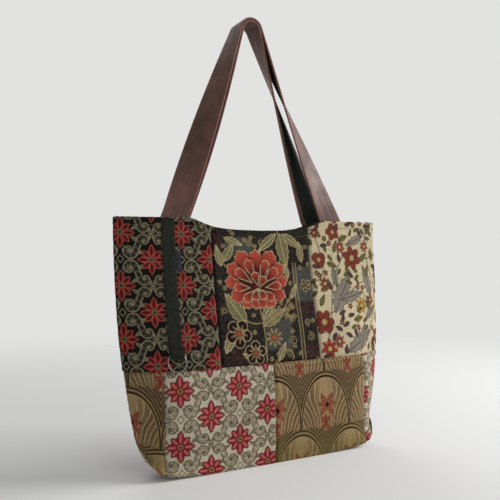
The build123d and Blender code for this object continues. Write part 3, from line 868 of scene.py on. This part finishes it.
def strap_line(side, spread, shift, bend):
    """The whole strap from the left end to the right end: points, directions across and directions out."""
    left, left_up, left_out, left_turn = strap_leg(-1, side, spread, shift, bend)
    right, right_up, right_out, right_turn = strap_leg(1, side, spread, shift, bend)
    angle = np.linspace(left_turn, right_turn, 40)[1:-1, None]
    radial = np.hstack([np.cos(angle), 0 * angle, np.sin(angle)])
    points = np.vstack([left, BEND_CENTRE + radial * bend, right[::-1]])
    forward = np.vstack([left_up, np.hstack([np.sin(angle), 0 * angle, -np.cos(angle)]), -right_up[::-1]])
    out = np.vstack([left_out, radial * -side, right_out[::-1]])
    out = unit(out - forward * np.sum(out * forward, axis=1, keepdims=True))
    return points, np.cross(forward, out), out


def leather_profile():
    """Outline of the leather: a crowned face with two creases, round edges, turned lips and a channel."""
    face = np.linspace(-FACE_HALF, FACE_HALF, 41)
    crown = LEATHER + 0.12 * (1 - (face / FACE_HALF) ** 2)
    crown = crown - 0.28 * (np.exp(-(((face - 6) / 0.9) ** 2)) + np.exp(-(((face + 6) / 0.9) ** 2)))
    edge = np.linspace(math.pi / 2, -math.pi / 2, 9)[1:]
    right = np.stack([FACE_HALF + LEATHER * np.cos(edge), LEATHER * np.sin(edge)], axis=1)
    lip = np.array([[14.5, -1.46], [13.2, -1.3], [12, -1.44], [11.4, -1.3],
                    [11.2, -0.9], [11.2, -0.1], [8, 0]])
    half = np.vstack([right, lip])
    return np.vstack([np.stack([face, crown], axis=1), half, half[::-1] * (-1, 1)])


def tape_profile():
    """Outline of the tape: a flat strip whose shown face has fine lengthwise ribs."""
    face = np.linspace(TAPE_HALF, -TAPE_HALF, 45)
    ribs = -1.2 - 0.13 * np.cos(face * 2 * math.pi / 2.2)
    return np.vstack([[[-TAPE_HALF, -0.2], [TAPE_HALF, -0.2]], np.stack([face, ribs], axis=1)])


def sweep(name, line, profile):
    """A profile carried along a strap: each point is moved across and out at every station."""
    points, across, out = line
    grid = points[:, None] + across[:, None] * profile[None, :, :1] + out[:, None] * profile[None, :, 1:]
    piece = grid_mesh(name, grid, flip=False, closed=True)
    run = np.append(0, np.cumsum(np.linalg.norm(np.diff(points, axis=0), axis=1)))
    mark_places(piece, profile[None, :, 0] + 0 * grid[..., 0], run[:, None] + 0 * grid[..., 0])
    return piece, run


def worn_leather():
    """Vegetable-tanned cowhide: clouded brown, paler at the edges, with a soft shine on a pebbled grain."""
    made, tree, shader = new_material("worn_brown_cowhide")
    place = node(tree, "TexCoord").outputs["Object"]
    flat = node(tree, "UVMap", {"uv_map": "flat_place"}).outputs[0]
    cloud = node(tree, "TexNoise", Vector=place, Scale=34.0, Detail=6.0, Roughness=0.62)
    stain = node(tree, "TexNoise", Vector=place, Scale=11.0, Detail=4.0, Roughness=0.6)
    pebble = node(tree, "TexVoronoi", Vector=place, Scale=760.0)
    parts = node(tree, "SeparateXYZ", i0=flat)
    off = node(tree, "Math", {"operation": "ABSOLUTE"}, i0=parts.outputs[0])
    edge = node(tree, "MapRange", {"interpolation_type": "SMOOTHSTEP"}, Value=off.outputs[0],
                i1=0.0145, i2=0.0172, i3=0.0, i4=0.55)
    cover = node(tree, "MapRange", Value=cloud.outputs[0], i1=0.36, i2=0.68)
    mark = node(tree, "MapRange", Value=stain.outputs[0], i1=0.52, i2=0.7, i3=0.0, i4=0.75)
    brown = blend(tree, cover.outputs[0], "#4c2e27", "#704739")
    stained = blend(tree, mark.outputs[0], brown, "#33201b")
    worn = blend(tree, edge.outputs[0], stained, "#855b4b")
    rough = node(tree, "MapRange", Value=cloud.outputs[0], i1=0.3, i2=0.7, i3=0.62, i4=0.45)
    bump = node(tree, "Bump", Strength=0.25, Distance=0.0003, Height=pebble.outputs[0])
    surface(tree, shader, worn, bump, 0.5, 0.4)
    tree.links.new(rough.outputs[0], shader.inputs["Roughness"])
    return made


def ribbed_webbing(name, dark, light, rib, direction):
    """Cotton webbing: close ribs one way and a slightly uneven dye, so it looks dark, dry and lined."""
    made, tree, shader = new_material(name)
    flat = node(tree, "UVMap", {"uv_map": "flat_place"}).outputs[0]
    ribs = bands(tree, flat, direction, rib, 0.6)
    dye = node(tree, "TexNoise", Vector=flat, Scale=160.0, Detail=4.0)
    cover = node(tree, "MapRange", Value=dye.outputs[0], i1=0.3, i2=0.7)
    bump = node(tree, "Bump", Strength=0.45, Distance=0.0004, Height=ribs.outputs[1])
    surface(tree, shader, blend(tree, cover.outputs[0], dark, light), bump, 0.85, 0.15)
    return made


cowhide = worn_leather()
handle_webbing = ribbed_webbing("green_black_handle_webbing", "#191c1a", "#2b312b", 0.0011, "X")
inner_bend = BEND_RADIUS + LEATHER
strap_lines = {}
for label, side, spread, shift, bend in (("front", FRONT, 253, -2.5, inner_bend + 2 * LEATHER + 0.3),
                                         ("back", BACK, 221, -7.5, inner_bend)):
    line = strap_lines[label] = strap_line(side, spread, shift, bend)
    strap, run = sweep(label + "_handle_cowhide", line, leather_profile())
    claim(strap, cowhide, "handle_leather", label + "_handle_leather")
    tape, run = sweep(label + "_handle_webbing", line, tape_profile())
    claim(tape, handle_webbing, "handle_tape", label + "_handle_tape")

# Key ribbon: a strip of green-black grosgrain sewn into the rim, its foot turned up into a loop.
# It lies on the front wall; the loop is round, because the ring hangs and swings in it.
RIBBON_LEFT, RIBBON_RIGHT, RIBBON = -142.0, -125.0, 0.9
LOOP_RADIUS, LOOP_MIDDLE, LOOP_HEIGHT, PIVOT_OUT = 6.03, -133.5, 150.5, 2.7


def wall_strip(name, left, right, bottom, top, thickness, lift, columns, rows):
    """A strip laid on the front wall: a flat outline carried up the wall, with rounded long edges."""
    z = np.linspace(bottom, top, rows)[:, None]
    x = np.linspace(left, right, columns)[None]
    crown = thickness * np.minimum(1, 0.35 + 1.3 * np.sqrt(np.minimum(x - left, right - x).clip(0)))
    ripple = 0.12 * np.sin(z / 3.1 + x / 7) + 0.2 * np.sin(z / 17.0)
    face = np.dstack([x + 0 * z, body_wall(x, z, FRONT) - lift - crown - ripple.clip(-0.05), z + 0 * x])
    rear = np.dstack([x[:, ::-1] + 0 * z, body_wall(x[:, ::-1], z, FRONT) - lift + 0 * ripple, z + 0 * x])
    grid = np.concatenate([face, rear], axis=1)
    piece = grid_mesh(name, grid, closed=True)
    mark_places(piece, grid[..., 0], grid[..., 2])
    return piece


def loop_outline(radius, back, top):
    """Closed line of the loop seen from its end: down the wall, round the ring's pivot, up and in."""
    low = -math.sqrt(radius**2 - (PIVOT_OUT - back) ** 2)
    turn = np.linspace(math.atan2(low, back - PIVOT_OUT), math.radians(15), 40)
    bow = np.stack([PIVOT_OUT + radius * np.cos(turn), radius * np.sin(turn)], axis=1)
    share = np.linspace(0, 1, 12)[1:, None]
    top_in = np.array([back, top])
    closing = bow[-1] + (top_in - bow[-1]) * share
    return np.vstack([[[back, top * 0.5]], bow, closing])


def ribbon_loop(name):
    """The loop: its outer and inner lines, each carried along the ribbon's width and joined at both edges."""
    point, along, up, outward = wall_frame(LOOP_MIDDLE, LOOP_HEIGHT, FRONT)
    outer = loop_outline(LOOP_RADIUS + RIBBON, 0.25, 3.9)
    inner = loop_outline(LOOP_RADIUS, 0.25 + RIBBON, 2.6)
    width = np.linspace(-8.5, 8.5, 14)
    lines = [(outer, place) for place in width] + [(inner, place) for place in width[::-1]]
    rows = [point + along * place + outward * line[:, :1] + up * line[:, 1:] for line, place in lines]
    grid = np.transpose(np.array(rows), (1, 0, 2))
    piece = grid_mesh(name, np.concatenate([grid, grid[:1]]), closed=True)
    across = np.array([place for _, place in lines])[None]
    run = np.linspace(0, 60, len(grid) + 1)[:, None]
    mark_places(piece, across + 0 * run, run + 0 * across)
    return piece


grosgrain = ribbed_webbing("green_black_grosgrain", "#1c1e18", "#2c2e25", 0.0012, "Y")
ribbon = wall_strip("key_ribbon_strip", RIBBON_LEFT, RIBBON_RIGHT, LOOP_HEIGHT + 1.5, BODY_HEIGHT - 0.6,
                    RIBBON, 0.5, 22, 150)
claim(ribbon, grosgrain, "key_ribbon_weave", "key_ribbon")
loop = ribbon_loop("key_ribbon_loop")
claim(loop, grosgrain, "key_ribbon_weave")

# Key ring: a round ring of nickel-plated steel wire, rubbed dull, that hangs free in the ribbon's loop.
# The ends of the wire meet in a butt joint at the top, inside the loop.
ring_point, ring_along, ring_up, ring_out = wall_frame(LOOP_MIDDLE, LOOP_HEIGHT, FRONT)
RING_RADIUS, WIRE = 11.4, 1.1
ring_centre = ring_point + ring_out * PIVOT_OUT - ring_up * RING_RADIUS
turn = np.linspace(0, 2 * math.pi, 121)[:-1, None, None]
tube = np.linspace(0, 2 * math.pi, 25)[:-1][None, :, None]
spoke = ring_along * np.cos(turn) + ring_up * np.sin(turn)
thick = WIRE * (1 - 0.14 * np.exp(-(((turn - math.pi / 2) / 0.03) ** 2)))
ring_grid = ring_centre + spoke * (RING_RADIUS + thick * np.cos(tube)) + ring_out * thick * np.sin(tube)
ring = grid_mesh("nickel_key_ring", np.concatenate([ring_grid, ring_grid[:1]]), closed=True)
# Rubbed nickel looks like a soft grey mirror with duller patches, and takes thin broken highlights.
nickel, tree, shader = new_material("rubbed_nickel_wire")
place = node(tree, "TexCoord").outputs["Object"]
rub = node(tree, "TexNoise", Vector=place, Scale=420.0, Detail=4.0)
tone = blend(tree, rub.outputs[0], "#4b4744", "#8a837d")
rough = node(tree, "MapRange", Value=rub.outputs[0], i1=0.3, i2=0.7, i3=0.22, i4=0.42)
tree.links.new(tone, shader.inputs["Base Color"])
tree.links.new(rough.outputs[0], shader.inputs["Roughness"])
shader.inputs["Metallic"].default_value = 1.0
ring.data.materials.append(nickel)
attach(ring, "ring")
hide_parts("key_ring")

# Side tab: a small woven tab, left bare, caught in beside the ribbon.
# It is a slate-coloured ribbed weave that lies flat on the cloth.
tab = wall_strip("bare_side_tab", -124.75, -117.75, 250.2, 275.9, 0.7, 0.5, 12, 26)
claim(tab, ribbed_webbing("slate_tab_weave", "#23262b", "#3a3e44", 0.0009, "Y"), "tab_weave", "bare_tab")

# Stitching: spun polyester thread, in a line under the rim, one below the band seam and two on each handle.
# Each stitch is a short round-ended run of thread that sinks into the cloth at both ends.
STITCH_RISE = np.array([0.0, 0.75, 1.0, 0.75, 0.0])


def stitches(name, centres, along, out, length, thread, code):
    """Many stitches in one mesh: five rings of six points each, closed at the ends by their small radius."""
    across = np.cross(along, out)
    place = np.linspace(-0.5, 0.5, 5)[None, :, None, None] * length
    angle = np.linspace(0, 2 * math.pi, 7)[:-1][None, None, :, None]
    size = thread / 2 * np.array([0.3, 0.9, 1.0, 0.9, 0.3])[None, :, None, None]
    high = (STITCH_RISE - 0.55)[None, :, None, None] * thread
    middle = centres[:, None, None] + along[:, None, None] * place
    rise = out[:, None, None] * (high + size * np.sin(angle))
    grid = middle + rise + across[:, None, None] * size * np.cos(angle)
    index = np.arange(grid[..., 0].size).reshape(grid.shape[:3])
    index = np.concatenate([index, index[:, :, :1]], axis=2)
    corners = [index[:, :-1, :-1], index[:, :-1, 1:], index[:, 1:, 1:], index[:, 1:, :-1]]
    faces = np.stack(corners, axis=3).reshape(-1, 4)
    mesh = bpy.data.meshes.new(name)
    mesh.from_pydata(grid.reshape(-1, 3) * MM, [], faces[:, ::-1])
    mesh.shade_smooth()
    piece = bpy.data.objects.new(name, mesh)
    bpy.context.scene.collection.objects.link(piece)
    made, tree, shader = new_material(name + "_polyester")
    place = node(tree, "TexCoord").outputs["Object"]
    ply = node(tree, "TexNoise", Vector=place, Scale=900.0, Detail=2.0)
    fine = node(tree, "MapRange", Value=ply.outputs[0], i1=0.3, i2=0.7, i3=0.75, i4=1.15)
    tint = blend(tree, 1.0, code, fine.outputs[0], "MULTIPLY")
    tree.links.new(tint, shader.inputs["Base Color"])
    shader.inputs["Roughness"].default_value = 0.6
    piece.data.materials.append(made)
    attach(piece, "bag")


def level_stitches(name, side, low, high, drop, from_rim, code, pitch=3.4):
    """A line of stitches across one wall, at a height or at a drop below the rim."""
    x = np.arange(low, high, pitch)
    z = rim_height(x) - drop if from_rim else np.full(x.shape, BAND_SEAM - drop)
    spot = lambda a, b: np.stack([a, body_wall(a, b, side), b], axis=1)
    ahead = rim_height(x + 1) - drop if from_rim else z
    along = unit(spot(x + 1, ahead) - spot(x, z))
    up = unit(spot(x, z + 1) - spot(x, z))
    out = np.cross(along, up) * -side
    lift = 0.1 if from_rim else 0.45
    stitches(name, spot(x, z) + out * lift, along, out, 2.5, 0.62, code)


for name, reach, drop, from_rim, code in (("hem", 194, 10, True, "#8d8264"),
                                          ("band", 186, 3.6, False, "#cdbf9a")):
    for label, side in (("front", FRONT), ("back", BACK)):
        level_stitches(f"{name}_stitches_{label}", side, -reach, reach, drop, from_rim, code)
for label, (points, across, out) in strap_lines.items():
    run = np.append(0, np.cumsum(np.linalg.norm(np.diff(points, axis=0), axis=1)))
    spots = np.arange(34, run[-1] - 34, 4.2)
    read = lambda grid: np.stack([np.interp(spots, run, grid[:, axis]) for axis in range(3)], axis=1)
    middle, sideways, outward = read(points), unit(read(across)), unit(read(out))
    for row, place in enumerate((-13.2, 13.2)):
        stitches(f"{label}_handle_stitches_{row}", middle + sideways * place - outward * 1.35,
                 np.cross(outward, sideways), -outward, 3.0, 0.6, "#3a2a22")

# Studio: a pale matt floor that fades into a pale surround, with soft light from the right, front and back.
world = bpy.data.worlds.new("pale_surround")
bpy.context.scene.world = world
world.use_nodes = True
world.node_tree.nodes.clear()
ray = node(world.node_tree, "LightPath")
seen = node(world.node_tree, "Math", {"operation": "MAXIMUM"}, i0=ray.outputs["Is Camera Ray"],
            i1=ray.outputs["Is Glossy Ray"])
soft = node(world.node_tree, "Background", Color=(*hex_colour("#f4f5f7"), 1), Strength=0.34)
shown = node(world.node_tree, "Background", Color=(*hex_colour("#e2e2e1"), 1), Strength=1.0)
both = node(world.node_tree, "MixShader", i0=seen.outputs[0], i1=soft.outputs[0], i2=shown.outputs[0])
node(world.node_tree, "OutputWorld", Surface=both.outputs[0])

floor_points = np.stack(np.meshgrid(np.linspace(-6000, 6000, 41), np.linspace(-6000, 6000, 41)), axis=2)
floor = grid_mesh("pale_floor", np.dstack([floor_points, np.full((41, 41), -0.2)]))
matt, tree, shader = new_material("pale_matt_paint")
place = node(tree, "TexCoord").outputs["Object"]
distance = node(tree, "VectorMath", {"operation": "LENGTH"}, i0=place)
fade = node(tree, "MapRange", {"interpolation_type": "SMOOTHSTEP"}, Value=distance.outputs["Value"],
            i1=0.45, i2=1.5, i3=0.0, i4=1.0)
clear = node(tree, "BsdfTransparent")
shader.inputs["Base Color"].default_value = (*hex_colour("#f2f2f0"), 1)
shader.inputs["Roughness"].default_value = 0.9
shader.inputs["Specular IOR Level"].default_value = 0.1
mixed = node(tree, "MixShader", i0=fade.outputs[0], i1=shader.outputs[0], i2=clear.outputs[0])
output = [made for made in tree.nodes if made.type == "OUTPUT_MATERIAL"][0]
tree.links.new(mixed.outputs[0], output.inputs["Surface"])
floor.data.materials.append(matt)


def soft_lamp(name, place, aim, size, power):
    """A square soft lamp at one place, turned so that its face looks at another."""
    data = bpy.data.lights.new(name, "AREA")
    data.energy, data.size = power, size
    lamp = bpy.data.objects.new(name, data)
    bpy.context.scene.collection.objects.link(lamp)
    back = unit(np.array(place) - np.array(aim))
    lamp.location = place
    lamp.rotation_euler = (math.acos(back[2]), 0, math.atan2(back[0], -back[1]))


soft_lamp("window_light", (2.1, -0.65, 1.2), (0, 0, 0.25), 1.2, 50)
soft_lamp("front_light", (0.35, -2.1, 1.3), (0, 0, 0.25), 1.6, 7)
soft_lamp("back_light", (0.3, 2.0, 1.6), (0, 0, 0.3), 1.5, 9)

camera_data = bpy.data.cameras.new("photo_camera")
camera_data.lens, camera_data.sensor_width = 46.8, 36.0
camera = bpy.data.objects.new("photo_camera", camera_data)
bpy.context.scene.collection.objects.link(camera)
camera.location = (-0.4285, -0.7609, 0.2768)
camera.rotation_euler = (math.pi / 2, 0, -0.492)
bpy.context.scene.camera = camera
bpy.context.scene.view_settings.view_transform = "Standard"
